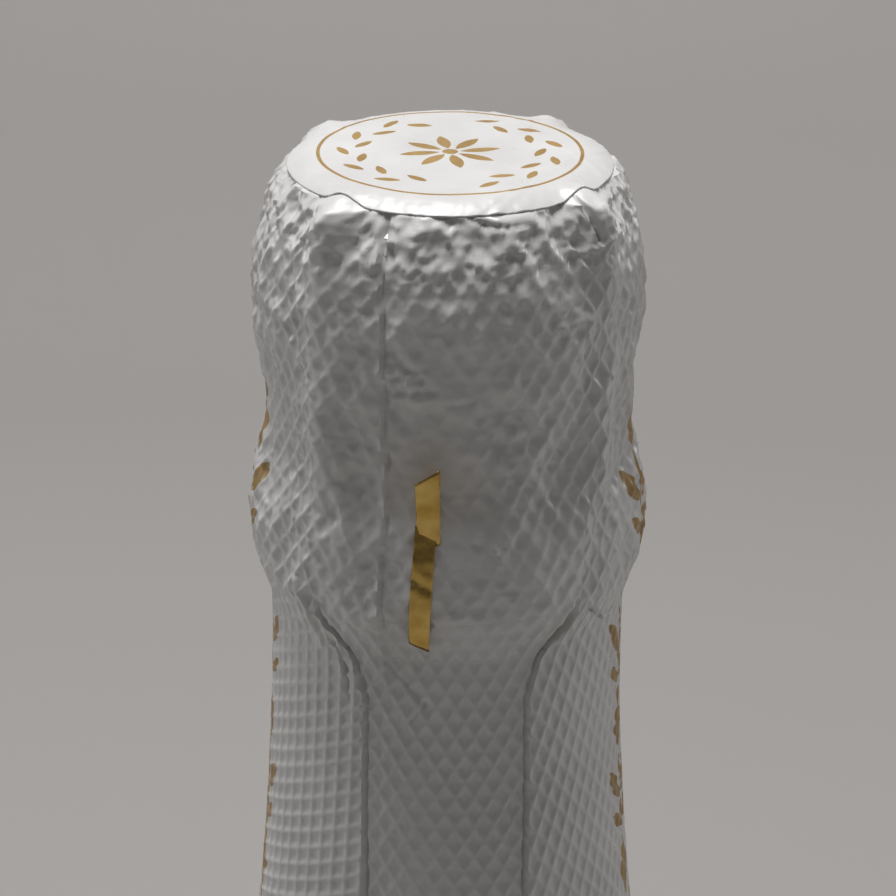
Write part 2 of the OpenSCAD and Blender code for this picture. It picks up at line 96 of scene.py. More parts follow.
def bump(distance, width):
    """A round hump, 1 at distance 0 and 0 beyond width."""
    return smooth(1.0 - np.abs(distance) / width)


def wrap(a):
    """The same azimuth, from -180 up to 180."""
    return (a + 180.0) % 360.0 - 180.0


def from_middle(a):
    """Degrees from the front, or from the back where that is nearer."""
    return np.where(np.abs(a) < 90.0, np.abs(a), 180.0 - np.abs(a))


def on_circle(a):
    """The places x and y of azimuths, on the circle where lengths are taken."""
    return np.sin(np.radians(a)) * ARC_R, -np.cos(np.radians(a)) * ARC_R


def outline_radius(z):
    """The outline as a smooth curve through its points."""
    zs, rs = np.array(OUTLINE).T
    slope = np.gradient(rs, zs)
    i = np.clip(np.searchsorted(zs, z) - 1, 0, len(zs) - 2)
    h = zs[i + 1] - zs[i]
    t = np.clip((z - zs[i]) / h, 0.0, 1.0)
    return ((2 * t ** 3 - 3 * t ** 2 + 1) * rs[i] + (t ** 3 - 2 * t ** 2 + t) * h * slope[i]
            + (3 * t ** 2 - 2 * t ** 3) * rs[i + 1] + (t ** 3 - t ** 2) * h * slope[i + 1])


def place_camera():
    """The photograph's view: from the front and above, tilted by a hair."""
    data = bpy.data.cameras.new("camera")
    data.lens = LENS_MM
    data.sensor_width = SENSOR_MM
    data.sensor_fit = "HORIZONTAL"
    data.clip_start = 0.01
    camera = bpy.data.objects.new("camera", data)
    down = math.radians(CAMERA_DOWN_DEG)
    place = Vector((0.0, -CAMERA_DISTANCE * math.cos(down), CENTRE_Z + CAMERA_DISTANCE * math.sin(down))) * MM
    turn = (Matrix.Rotation(math.radians(90.0) - down, 4, "X")
            @ Matrix.Rotation(math.radians(CAMERA_ROLL_DEG), 4, "Z"))
    camera.matrix_world = Matrix.Translation(place) @ turn
    bpy.context.collection.objects.link(camera)
    bpy.context.scene.camera = camera


# Materials

def new_material(name):
    """A new material, with its nodes, its links and its shader."""
    material = bpy.data.materials.new(name)
    material.use_nodes = True
    nodes = material.node_tree.nodes
    return material, nodes, material.node_tree.links, nodes["Principled BSDF"]


def object_noise(nodes, links, scale, detail=3.0, roughness=0.5, distortion=0.0):
    """Noise that stays with the object."""
    where = nodes.new("ShaderNodeTexCoord")
    texture = nodes.new("ShaderNodeTexNoise")
    texture.inputs["Scale"].default_value = scale
    texture.inputs["Detail"].default_value = detail
    texture.inputs["Roughness"].default_value = roughness
    texture.inputs["Distortion"].default_value = distortion
    links.new(where.outputs["Object"], texture.inputs["Vector"])
    return texture.outputs["Fac"]


def ramp(nodes, links, source, stops):
    """A colour for each value, between stops given as a value and a colour."""
    node = nodes.new("ShaderNodeValToRGB")
    elements = node.color_ramp.elements
    while len(elements) < len(stops):
        elements.new(0.5)
    for element, (place, colour) in zip(elements, stops):
        element.position = place
        element.color = (*colour, 1.0)
    links.new(source, node.inputs["Fac"])
    return node.outputs["Color"]


def spread(nodes, links, source, low, high, start=0.3, end=0.7):
    """Values from start to end, stretched to go from low to high."""
    node = nodes.new("ShaderNodeMapRange")
    for name, value in zip(("From Min", "From Max", "To Min", "To Max"), (start, end, low, high)):
        node.inputs[name].default_value = value
    links.new(source, node.inputs["Value"])
    return node.outputs["Result"]


def bumps(nodes, links, shader, source, strength, distance, below=None):
    """Fine unevenness of the surface, over a coarser one if that is given."""
    node = nodes.new("ShaderNodeBump")
    node.inputs["Strength"].default_value = strength
    node.inputs["Distance"].default_value = distance
    links.new(source, node.inputs["Height"])
    if below:
        links.new(below, node.inputs["Normal"])
    links.new(node.outputs["Normal"], shader.inputs["Normal"])
    return node.outputs["Normal"]


def mixed(nodes, links, factor, first, second):
    """The second colour over the first, by a factor."""
    node = nodes.new("ShaderNodeMix")
    node.data_type = "RGBA"
    links.new(factor, node.inputs["Factor"])
    for source, socket in ((first, node.inputs[6]), (second, node.inputs[7])):
        if isinstance(source, tuple):
            socket.default_value = (*source, 1.0)
        else:
            links.new(source, socket)
    return node.outputs[2]


def foil_material(name, fine_wrinkles):
    """White lacquer on thin foil, with gold print where the attribute gilt is above zero."""
    material, nodes, links, shader = new_material(name)
    tint = ramp(nodes, links, object_noise(nodes, links, 90.0, 4.0),
                [(0.3, (0.70, 0.69, 0.68)), (0.7, (0.79, 0.785, 0.775))])
    gilt = nodes.new("ShaderNodeAttribute")
    gilt.attribute_name = "gilt"
    printed = spread(nodes, links, gilt.outputs["Fac"], 0.0, 1.0, -0.02, 0.02)
    gold = ramp(nodes, links, object_noise(nodes, links, 400.0, 3.0),
                [(0.3, (0.36, 0.22, 0.075)), (0.7, (0.47, 0.30, 0.11))])
    links.new(mixed(nodes, links, printed, tint, gold), shader.inputs["Base Color"])
    rough = spread(nodes, links, object_noise(nodes, links, 260.0, 3.0), 0.24, 0.46)
    links.new(rough, shader.inputs["Roughness"])
    shader.inputs["Specular IOR Level"].default_value = 0.5
    shader.inputs["Coat Weight"].default_value = 0.15
    shader.inputs["Coat Roughness"].default_value = 0.2
    coarse = bumps(nodes, links, shader, object_noise(nodes, links, 420.0, 2.0, 0.45, 0.6),
                   fine_wrinkles, 0.0002)
    bumps(nodes, links, shader, object_noise(nodes, links, 2600.0, 2.0), 0.25, 0.00004, coarse)
    return material


def gold_material():
    """Thin gold-coloured foil, crinkled."""
    material, nodes, links, shader = new_material("gold_foil")
    tint = ramp(nodes, links, object_noise(nodes, links, 500.0, 4.0),
                [(0.3, (0.50, 0.31, 0.07)), (0.7, (0.72, 0.50, 0.16))])
    links.new(tint, shader.inputs["Base Color"])
    shader.inputs["Metallic"].default_value = 1.0
    rough = spread(nodes, links, object_noise(nodes, links, 700.0, 3.0), 0.12, 0.3)
    links.new(rough, shader.inputs["Roughness"])
    bumps(nodes, links, shader, object_noise(nodes, links, 900.0, 2.0, 0.5, 0.5), 0.35, 0.0001)
    return material


def steel_material(name, colour, roughness):
    """Dull, slightly stained steel."""
    material, nodes, links, shader = new_material(name)
    dull = tuple(0.8 * c for c in colour)
    tint = ramp(nodes, links, object_noise(nodes, links, 300.0, 4.0), [(0.35, dull), (0.65, colour)])
    links.new(tint, shader.inputs["Base Color"])
    shader.inputs["Metallic"].default_value = 1.0
    rough = spread(nodes, links, object_noise(nodes, links, 900.0, 3.0), roughness - 0.08, roughness + 0.1)
    links.new(rough, shader.inputs["Roughness"])
    bumps(nodes, links, shader, object_noise(nodes, links, 2200.0, 2.0), 0.15, 0.00003)
    return material


def cork_material(name, grain, light, dark, pits):
    """Cork, mottled at the grain's fineness, with small dark pits."""
    material, nodes, links, shader = new_material(name)
    tint = ramp(nodes, links, object_noise(nodes, links, grain, 5.0, 0.6, 0.4),
                [(0.36, dark), (0.5, light), (0.68, tuple(1.12 * c for c in light))])
    where = nodes.new("ShaderNodeTexCoord")
    cells = nodes.new("ShaderNodeTexVoronoi")
    cells.inputs["Scale"].default_value = grain * 1.4
    links.new(where.outputs["Object"], cells.inputs["Vector"])
    flecks = ramp(nodes, links, cells.outputs["Distance"], [(0.08, (1.0, 1.0, 1.0)), (0.22, (0.0, 0.0, 0.0))])
    links.new(mixed(nodes, links, flecks, tint, pits), shader.inputs["Base Color"])
    shader.inputs["Roughness"].default_value = 0.85
    bumps(nodes, links, shader, object_noise(nodes, links, grain * 2.0, 4.0), 0.6, 0.0004)
    return material


def glass_material():
    """Dark green bottle glass, faintly uneven."""
    material, nodes, links, shader = new_material("green_glass")
    tint = ramp(nodes, links, object_noise(nodes, links, 14.0, 2.0),
                [(0.3, (0.10, 0.26, 0.09)), (0.7, (0.14, 0.33, 0.12))])
    links.new(tint, shader.inputs["Base Color"])
    shader.inputs["Transmission Weight"].default_value = 1.0
    shader.inputs["IOR"].default_value = 1.5
    shader.inputs["Roughness"].default_value = 0.02
    bumps(nodes, links, shader, object_noise(nodes, links, 25.0, 2.0), 0.06, 0.001)
    return material


def wine_material():
    """Clear pale gold wine."""
    material, nodes, links, shader = new_material("wine")
    tint = ramp(nodes, links, object_noise(nodes, links, 8.0, 1.0),
                [(0.3, (0.90, 0.80, 0.42)), (0.7, (0.93, 0.84, 0.50))])
    links.new(tint, shader.inputs["Base Color"])
    shader.inputs["Transmission Weight"].default_value = 1.0
    shader.inputs["IOR"].default_value = 1.34
    shader.inputs["Roughness"].default_value = 0.0
    return material


# Mesh helpers

def add_mesh(name, points, faces, material):
    """A mesh object from points in millimetres."""
    mesh = bpy.data.meshes.new(name)
    mesh.from_pydata((np.asarray(points) * MM).tolist(), [], faces)
    mesh.validate()
    mesh.polygons.foreach_set("use_smooth", [True] * len(mesh.polygons))
    mesh.materials.append(material)
    mesh.update()
    piece = bpy.data.objects.new(name, mesh)
    bpy.context.collection.objects.link(piece)
    return piece


def turned_grid(rows, around):
    """Faces of a closed ring of rows, each with the same number of points all round."""
    i, k = np.meshgrid(np.arange(rows), np.arange(around), indexing="ij")
    up, side = (i + 1) % rows, (k + 1) % around
    quads = np.stack([i * around + k, i * around + side, up * around + side, up * around + k], axis=-1)
    return quads.reshape(-1, 4).tolist()


def set_gilt(piece, values):
    """How deep inside the gold print each point lies, in millimetres, or how far outside, below zero."""
    attribute = piece.data.attributes.new("gilt", "FLOAT", "POINT")
    attribute.data.foreach_set("value", np.asarray(values, dtype=np.float32))


# The foil's relief, in millimetres outwards, at azimuth a and height z

DIAMOND_W = 1.8
DIAMOND_H = 3.0
EMBOSS = 0.2
RIDGE_WIDTH = 0.15
DIMPLE = 0.35
LATTICE_MIDDLE = 260.0
RING_FOOT = 278.0
# The lattice leans by these degrees beyond the neck's left and right pleats, and left of the hood's seam
LEFT_LEAN = -33.0
RIGHT_LEAN = 9.0
SEAM_LEAN = -7.0


def ridges(t):
    """Narrow raised lines, one for each whole number."""
    off = np.abs((t + 0.5) % 1.0 - 0.5)
    return np.exp(-(off / RIDGE_WIDTH) ** 2)


def diamonds(a, z):
    """The embossed lattice: thin ridges in two slanting families, with a dimple in each diamond.
    It lies at another angle on each side of the seam and of the pleats, where the foil is folded over."""
    neck = z < RING_FOOT
    beyond = neck & (from_middle(a) > pleat_path(z))
    lean = np.where(beyond & (a < 0.0), LEFT_LEAN, 0.0) + np.where(beyond & (a > 0.0), RIGHT_LEAN, 0.0)
    lean = np.radians(lean + np.where(~neck & (a < SEAM_AZIMUTH), SEAM_LEAN, 0.0))
    along = np.radians(a) * ARC_R
    high = z - LATTICE_MIDDLE
    s = along * np.cos(lean) + high * np.sin(lean)
    h = high * np.cos(lean) - along * np.sin(lean)
    u, v = s / DIAMOND_W + h / DIAMOND_H, s / DIAMOND_W - h / DIAMOND_H
    dimple = np.abs(np.sin(np.pi * u) * np.sin(np.pi * v))
    return np.maximum(ridges(u), ridges(v)) - DIMPLE * dimple


def crease_distance(a, z, start, end):
    """Distance from a straight crease on the foil."""
    s = np.radians(wrap(a - start[0])) * ARC_R
    run = np.array([np.radians(end[0] - start[0]) * ARC_R, end[1] - start[1]])
    length = np.hypot(*run)
    near = np.clip((s * run[0] + (z - start[1]) * run[1]) / length ** 2, 0.0, 1.0)
    return np.hypot(s - near * run[0], z - start[1] - near * run[1])


# Creases, as their two ends in azimuth and height, their width, and their height, outwards or inwards
CREASES = [
    ((-17.3, 304.8), (-4.6, 301.2), 0.8, -0.35),
    ((-18.4, 300.2), (6.2, 300.6), 0.6, 0.16),
    ((-18.4, 300.4), (-13.0, 297.6), 1.2, -0.30),
    ((-3.1, 291.0), (13.6, 286.5), 0.55, 0.22),
    ((-19.1, 274.7), (-6.7, 270.7), 0.35, -0.22),
    ((-6.7, 270.7), (-14.8, 267.9), 0.4, -0.14),
    ((-48.1, 280.9), (-42.7, 274.9), 0.8, 0.30),
    ((46.4, 316.0), (48.7, 312.6), 0.3, -0.55),
    ((48.1, 315.3), (65.0, 314.9), 0.5, 0.25),
    ((6.5, 315.7), (11.2, 315.0), 0.35, -0.25),
    ((11.2, 315.0), (26.2, 314.8), 0.35, -0.25),
    ((47.6, 278.2), (58.6, 275.7), 0.35, -0.40),
    ((58.6, 275.7), (66.0, 275.9), 0.35, -0.25),
    ((-36.7, 275.5), (-32.6, 272.8), 0.3, -0.40),
    ((20.0, 297.0), (33.0, 288.5), 0.7, 0.20),
    ((14.0, 308.0), (30.0, 303.0), 0.7, 0.16),
    ((-60.0, 306.0), (-44.0, 300.0), 0.7, 0.18),
    ((-33.0, 291.0), (-26.0, 283.0), 0.7, 0.20),
    ((98.0, 309.0), (122.0, 302.0), 0.7, 0.22),
    ((150.0, 300.0), (170.0, 293.0), 0.8, -0.22),
    ((-150.0, 306.0), (-124.0, 297.0), 0.7, 0.22),
    ((-110.0, 292.0), (-88.0, 285.0), 0.8, -0.22),
    ((105.0, 282.0), (125.0, 276.0), 0.7, -0.25),
]
CREASE_REACH = 8.0
# A small hole by the right front leg, as its two ends
HOLE = ((60.8, 311.7), (61.3, 311.5))
HOLE_R = 0.45
HOLE_DEPTH = 0.8

# The foil droops at the cap's edge
DROOP_FROM = 11.4
DROOP_OVER = 2.9
DROOP = 0.98
DISC_SINK = 0.02

# Each leg of the wire hood bends over the cork's edge, and the foil goes round it, with a hollow beside it
LEGS = 4
LEG_REACH = 11.0
LEG_COVER = 0.1
BEND_R = 3.75
BEND_CENTRE = (13.7, 312.85)
CAGE_FOOT = 279.0
HOLLOW_OFF = 17.0
HOLLOW_REACH = 12.0
HOLLOW_DEPTH = 0.16

# The wire loop lies folded up under the foil
LOOP_SKIN_R = 18.05
LOOP_HALF = 17.0
LOOP_FADE = 15.0
LOOP_TOP = 302.5
LOOP_FOOT = 278.5


def leg_distance(a):
    """Degrees from the nearest leg of the wire hood."""
    return np.abs(wrap((a - LEG_AZIMUTH) * LEGS)) / LEGS


def crown_height(r, a):
    """Height of the foil over the cap: flat in the middle, curled down at the edge, lifted by each leg."""
    droop = DROOP * (np.clip(r - DROOP_FROM, 0.0, None) / DROOP_OVER) ** 2
    past_bend = np.maximum(0.0, r - BEND_CENTRE[0])
    lifted = BEND_CENTRE[1] + np.sqrt(np.maximum(0.0, BEND_R ** 2 - past_bend ** 2))
    plain = DISC_TOP - DISC_SINK - droop
    return plain + bump(leg_distance(a), LEG_REACH) * np.maximum(0.0, lifted + LEG_COVER - plain)


def leg_ridge(a, z):
    """The foil pressed over the four wire legs: how far each pushes it out, and where the hollows are."""
    off = leg_distance(a)
    reach = above(z, CAGE_FOOT, over=3.0)
    over = np.clip(z - BEND_CENTRE[1], 0.0, BEND_R)
    around_leg = BEND_CENTRE[0] + np.sqrt(BEND_R ** 2 - over ** 2)
    needed = np.maximum(0.0, around_leg - outline_radius(z))
    return reach * needed * bump(off, LEG_REACH), reach * bump(off - HOLLOW_OFF, HOLLOW_REACH)


def loop_hump(a, z):
    """The foil pushed out by the loop behind it."""
    off = np.abs(wrap(a - LOOP_AZIMUTH))
    wide = 1.0 - smooth((off - LOOP_HALF) / LOOP_FADE)
    wide = wide * smooth((LOOP_TOP - z) / 3.0) * above(z, LOOP_FOOT, over=2.0)
    return wide * np.maximum(0.0, LOOP_SKIN_R - outline_radius(z))


def crumple(a, z, scale, seed):
    """Facets between sharp folds, as thin metal foil crumples."""
    x, y = on_circle(a)
    out = np.empty(len(a))
    for i in range(len(a)):
        distances = noise.voronoi(Vector((x[i] / scale + seed, y[i] / scale, z[i] / scale)))[0]
        out[i] = distances[1] - distances[0]
    return np.minimum(out, 0.6) - 0.3


def creased(a, z, scale, seed):
    """Sharp folds with smooth foil between them, and finer ones half as high among them."""
    finer = 2.3
    x, y = on_circle(a)
    x, y, h = x / scale, y / scale, z / scale
    out = np.empty(len(a))
    for i in range(len(a)):
        first = abs(noise.noise(Vector((x[i] + seed, y[i], h[i]))))
        second = abs(noise.noise(Vector((finer * x[i], finer * y[i] + seed, finer * h[i]))))
        out[i] = first + 0.5 * second
    return 0.35 - out


def wrinkles(a, z, scale, seed):
    """Soft uneven waves."""
    x, y = on_circle(a)
    return np.array([noise.fractal(Vector((x[i] / scale, y[i] / scale + seed, z[i] / scale)), 1.0, 2.1, 3)
                     for i in range(len(a))])


# How a pleat's edge turns away from its azimuth: degrees, the level where that starts, and over what height
PLEAT_TURNS = [(-1.2, 262.0, -14.0), (3.5, 270.0, 5.0), (11.5, 274.0, 4.6)]
PLEAT_TOP = 280.5
PLEAT_STEP = 0.30
PLEAT_WIDTH = 22.0
CRACK_DEPTH = 0.6
CRACK_WIDTH = 0.7
# The crack opens under the string ring, less on the front's left
MOUTH_DEPTH = 0.5
MOUTH_DEEPEST = 276.6
MOUTH_WIDTH = 1.7
MOUTH_WIDEST = 276.9
LEFT_MOUTH = 0.3
# A second fold wavers beside the left pleat
SECOND_DEPTH = 0.35
SECOND_OFF = 4.6
SECOND_Z = 272.5


def pleat_path(z):
    """Azimuth of a pleat's edge, from the front or the back: it flares under the string ring."""
    path = PLEAT_AZIMUTH
    for turn, level, over in PLEAT_TURNS:
        path = path + turn * above(z, level, over)
    return path


def pleat_relief(a, z):
    """Each pleat's outer layer is a step up from the flat panel, behind a dark open crack."""
    past = from_middle(a) - pleat_path(z)
    fade = smooth((PLEAT_TOP - z) / 2.5)
    left = (a < 0.0) & (a > -90.0)
    step = PLEAT_STEP * np.clip(1.0 - past / PLEAT_WIDTH, 0.0, 1.0) * smooth((past + 0.9) / 0.7)
    opening = np.where(left, LEFT_MOUTH, 1.0)
    depth = CRACK_DEPTH + MOUTH_DEPTH * opening * bump(z - MOUTH_DEEPEST, 3.2)
    width = CRACK_WIDTH + MOUTH_WIDTH * opening * bump(z - MOUTH_WIDEST, 2.4)
    crack = -depth * bump(past + 1.0, width)
    waver = 0.5 * np.sin(z * 0.9)
    second = -SECOND_DEPTH * bump(past - SECOND_OFF + waver, 0.8) * bump(z - SECOND_Z, 4.5) * left
    return fade * (step + crack + second)


# Patches of the hood, as azimuth and height of the middle, and reach both ways
SMOOTH_PATCH = (-4.0, 295.0, 20.0, 17.0)
FOLDED_PATCH = (-11.0, 301.6, 12.0, 3.6)
HOOD_FOOT = 277.5
CRUMPLED_FROM = 309.5

# How much of the embossing is pressed away on the smooth patch, and worn off elsewhere and on the rim
PRESSED_AWAY = 0.8
WORN_OFF = 0.5
RIM_WORN_OFF = 0.4
RIM_WORN_FROM = 312.5

# The foil's overlap, which shifts round by some degrees at its top and bows out half way up
SEAM_STEP = 0.30
SEAM_WIDTH = 30.0
SEAM_FOOT = 272.0
SEAM_SHIFT = 2.6
SEAM_SHIFTS_FROM = 306.0
SEAM_BOW = 1.5
SEAM_BOW_Z = 291.0
SEAM_CRACK = 0.35
SEAM_CRACK_FOOT = 276.0
SEAM_CRACK_DEEPENS = 300.0

# Depths of the folds and waves
FINE_FOLDS = 0.22
RIM_FOLDS = 0.6
BROAD_FOLDS = 0.8
TIGHT_FOLDS = 1.1
HOOD_WAVES = 0.22
WAVES = 0.10


def patch(a, z, place):
    """1 in the middle of a patch, 0 outside it."""
    middle, height, reach_round, reach_up = place
    return bump(wrap(a - middle), reach_round) * bump(z - height, reach_up)


def lattice(a, z, pressed):
    """The embossing, worn unevenly, and fainter where the foil is pressed smooth and on the crumpled rim."""
    worn = 0.55 + 0.45 * wrinkles(a, z, scale=9.0, seed=40.0)
    strength = EMBOSS * (1.0 - PRESSED_AWAY * pressed) * (1.0 - WORN_OFF * np.clip(1.0 - worn, 0.0, 1.0))
    strength = strength * (1.0 - RIM_WORN_OFF * above(z, RIM_WORN_FROM, over=2.0))
    return strength * diamonds(a, z)


def seam_relief(a, z):
    """The overlap of the foil's two edges, a step with a crack that runs down beside the tab."""
    shift = SEAM_SHIFT * above(z, SEAM_SHIFTS_FROM, over=9.0)
    past = a - SEAM_AZIMUTH + shift - SEAM_BOW * bump(z - SEAM_BOW_Z, 7.0)
    step = SEAM_STEP * smooth((-past) / 0.6) * np.clip(1.0 + past / SEAM_WIDTH, 0.0, 1.0)
    crack = SEAM_CRACK * bump(past - 0.5, 0.8) * above(z, SEAM_CRACK_FOOT, over=4.0)
    deepened = 0.5 + 0.5 * above(z, SEAM_CRACK_DEEPENS, over=8.0)
    return step * above(z, SEAM_FOOT, over=3.0) - crack * deepened


def relief(a, z):
    """Everything that stands off the foil's outline at those places."""
    a = wrap(a)
    ridge, hollow = leg_ridge(a, z)
    rim = above(z, CRUMPLED_FROM, over=3.0)
    hood = above(z, HOOD_FOOT, over=3.0)
    # The smooth patch is right of the seam
    pressed = patch(a, z, SMOOTH_PATCH)
    out = lattice(a, z, pressed)
    out += ridge - HOLLOW_DEPTH * hollow * hood + loop_hump(a, z) + pleat_relief(a, z)
    out += seam_relief(a, z)
    for start, end, width, height in CREASES:
        near = np.abs(z - 0.5 * (start[1] + end[1])) < CREASE_REACH
        out[near] += height * bump(crease_distance(a[near], z[near], start, end), width)
    out += creased(a, z, scale=2.2, seed=7.0) * (FINE_FOLDS * hood + RIM_FOLDS * rim)
    out += creased(a, z, scale=6.5, seed=19.0) * BROAD_FOLDS * hood * (1.0 - 0.5 * pressed)
    out += creased(a, z, scale=1.6, seed=31.0) * TIGHT_FOLDS * patch(a, z, FOLDED_PATCH)
    out += wrinkles(a, z, scale=7.0, seed=3.0) * HOOD_WAVES * hood
    out += wrinkles(a, z, scale=14.0, seed=11.0) * WAVES
    return out - HOLE_DEPTH * bump(crease_distance(a, z, *HOLE), HOLE_R)


FLANGE_R = 12.6
FLANGE_DROP = 0.2
FLANGE_BEND = 0.3


def foil_points(a, z):
    """Points of the foil's outside, with the relief along the radius. Above RIM_Z, z runs on as the way
    in over the cap, from 0 at the rim to 1 at the flange's inner edge under the disc."""
    level = np.minimum(z, RIM_Z)
    rim = outline_radius(level) + relief(a, level)
    inward = np.clip(z - RIM_Z, 0.0, 1.0)
    r = rim + (FLANGE_R - rim) * inward
    high = np.where(inward > 0.0, crown_height(r, wrap(a)) - FLANGE_DROP, level)
    high = level + (high - level) * smooth(inward / FLANGE_BEND)
    return np.stack([r * np.sin(np.radians(a)), -r * np.cos(np.radians(a)), high], axis=-1)


# Columns of the mesh this near a pleat, in degrees, move with it, as far as it still turns
PLEAT_PULL = 26.0
PLEAT_TURNED = 280.0


def warped(a, z):
    """Moves the mesh's columns so that one runs along each pleat's edge."""
    way = np.sign(a) * np.where(np.abs(a) < 90.0, 1.0, -1.0)
    weight = np.clip(1.0 - np.abs(from_middle(a) - PLEAT_AZIMUTH) / PLEAT_PULL, 0.0, 1.0)
    return a + way * weight * (pleat_path(np.minimum(z, PLEAT_TURNED)) - PLEAT_AZIMUTH)


# Gold print: a generic upright ornament on each side of the neck, and one on the top disc

NO_PRINT = -9.0
ORNAMENT_AZIMUTHS = (-84.0, 79.0)
ORNAMENT_PITCH = 15.5
ORNAMENT_TOP = 296.0
ORNAMENT_FOOT = SKIRT_FOOT + 8.0
STEM_HALF = 0.28
LOZENGE_Y = 4.6
LOZENGE_DEPTH = 1.75
LOZENGE_SLOPES = (0.95, 0.62)
# A pair of leaves in each line: how far to the side and how high they lie, lean, length and width
LEAF_PAIRS = [(2.0, -1.0, 38.0, 5.2, 1.7), (1.6, -5.0, 50.0, 3.8, 1.3)]


def leaf(x, y, cx, cy, angle, length, width):
    """How deep each place lies inside a pointed leaf."""
    c, s = math.cos(math.radians(angle)), math.sin(math.radians(angle))
    u = (x - cx) * c + (y - cy) * s
    v = -(x - cx) * s + (y - cy) * c
    radius = (length * length + width * width) / (4.0 * width)
    off = radius - width / 2.0
    return radius - np.hypot(u, np.abs(v) + off)


def side_ornament(a, z):
    """Lozenges between pairs of leaves on a thin stem, repeated down the neck."""
    out = np.full(len(a), NO_PRINT)
    for middle in ORNAMENT_AZIMUTHS:
        x = np.radians(wrap(a - middle)) * ARC_R
        y = (z - ORNAMENT_TOP) % ORNAMENT_PITCH - ORNAMENT_PITCH / 2.0
        slope = np.abs(x) * LOZENGE_SLOPES[0] + np.abs(y - LOZENGE_Y) * LOZENGE_SLOPES[1]
        out = np.maximum(out, LOZENGE_DEPTH - slope)
        out = np.maximum(out, STEM_HALF - np.abs(x))
        for side in (-1.0, 1.0):
            for away, high, lean, length, width in LEAF_PAIRS:
                out = np.maximum(out, leaf(x, y, side * away, high, 90.0 - side * lean, length, width))
    return np.minimum(out, np.minimum(ORNAMENT_TOP - z, z - ORNAMENT_FOOT))


DISC_RING_R = 11.5
DISC_RING_HALF = 0.16
ROSETTE_LEAVES = 8
ROSETTE_TURN = 12.0
ROSETTE_R = 2.7
ROSETTE_EYE = 0.7
ROSETTE_LEAF = (3.6, 1.15)
WREATH_PLACES = 26
WREATH_R = 8.6
WREATH_SWAY = 0.75
WREATH_LEAN = 24.0
WREATH_GAP = 16.0
WREATH_LEAF = (2.5, 0.8)


def disc_leaf(x, y, angle, away, lean, length, width):
    """A leaf on the disc, at an angle and a distance from the middle."""
    c, s = math.cos(math.radians(angle)), math.sin(math.radians(angle))
    return leaf(x, y, away * c, away * s, angle + lean, length, width)


def disc_ornament(x, y):
    """A ring line, a wreath of leaves inside it, open at two ends, and a rosette in the middle."""
    r = np.hypot(x, y)
    out = np.maximum(DISC_RING_HALF - np.abs(r - DISC_RING_R), ROSETTE_EYE - r)
    for k in range(ROSETTE_LEAVES):
        angle = 360.0 / ROSETTE_LEAVES * k + ROSETTE_TURN
        out = np.maximum(out, disc_leaf(x, y, angle, ROSETTE_R, 0.0, *ROSETTE_LEAF))
    for k in range(WREATH_PLACES):
        angle = 360.0 / WREATH_PLACES * k
        if min(abs(wrap(angle - 90.0)), abs(wrap(angle + 90.0))) < WREATH_GAP:
            continue
        side = 1.0 if k % 2 else -1.0
        away = WREATH_R + side * WREATH_SWAY
        out = np.maximum(out, disc_leaf(x, y, angle, away, 90.0 + side * WREATH_LEAN, *WREATH_LEAF))
    return out


# Pieces of the foil

COLUMNS = 560
ROW_STEP = 0.2
SKIRT_ROW_STEP = 0.22
INSIDE_EVERY = 8
INSIDE_DEPTH = 0.4
SHARP_DEG = 60.0


def foil_shell(name, low, high, step, material):
    """A closed thin shell of the foil between two heights: a fine outside and a plainer inside."""
    columns = np.linspace(-180.0, 180.0, COLUMNS, endpoint=False)
    heights = np.linspace(low, high, int(round((high - low) / step)))
    count = len(heights)
    a, z = (grid.ravel() for grid in np.meshgrid(columns, heights))
    a = warped(a, z)
    outside = foil_points(a, z).reshape(count, COLUMNS, 3)
    # The inside has one row for every few outside, drawn in from the least radius near it
    radii = np.hypot(outside[..., 0], outside[..., 1])
    inner_rows = sorted(set(range(0, count, INSIDE_EVERY)) | {count - 1}, reverse=True)
    inside = []
    for i in inner_rows:
        row = outside[i].copy()
        near = radii[max(0, i - INSIDE_EVERY):i + INSIDE_EVERY + 1].min(axis=0)
        drawn_in = np.maximum(near, radii[i] - INSIDE_DEPTH) - FOIL_T
        target = np.where(heights[i] < RIM_Z, drawn_in, radii[i])
        row[:, :2] *= (target / radii[i])[:, None]
        if heights[i] >= RIM_Z:
            row[:, 2] -= FOIL_T
        inside.append(row)
    points = np.concatenate([outside.reshape(-1, 3), np.concatenate(inside)])
    piece = add_mesh(name, points, turned_grid(count + len(inner_rows), COLUMNS), material)
    piece.data.set_sharp_from_angle(angle=math.radians(SHARP_DEG))
    set_gilt(piece, np.concatenate([side_ornament(a, z), np.full(len(inner_rows) * COLUMNS, NO_PRINT)]))
    return piece


def make_hood(material):
    """The hood over the cork and the wires, turned in over the cap under the disc."""
    piece = foil_shell("foil_hood_skin", STRIP_TOP + SEAM_GAP, RIM_Z + 1.0, ROW_STEP, material)
    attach(piece, "foil_cap")
    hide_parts("foil_hood")


def make_strip(material):
    """The tear strip, under the hood."""
    piece = foil_shell("tear_strip_skin", STRIP_FOOT, STRIP_TOP, ROW_STEP, material)
    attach(piece, "foil_cap")
    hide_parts("tear_strip")


def make_skirt(material):
    """The skirt on the neck, from under the strip down to its foot."""
    piece = foil_shell("foil_skirt_skin", SKIRT_FOOT, STRIP_FOOT - SEAM_GAP, SKIRT_ROW_STEP, material)
    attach(piece, "bottle")
    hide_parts("foil_skirt")


DISC_AROUND = 360
DISC_STEP = 0.25
DISC_EDGE = 0.05
DENT = 0.05
DENT_SIZE = 6.0
EDGE_FOLD = 0.16
FOLDED_FROM = 12.3
WAVER = 0.012
WAVER_FINENESS = 1.7
WAVERS_FROM = 12.6
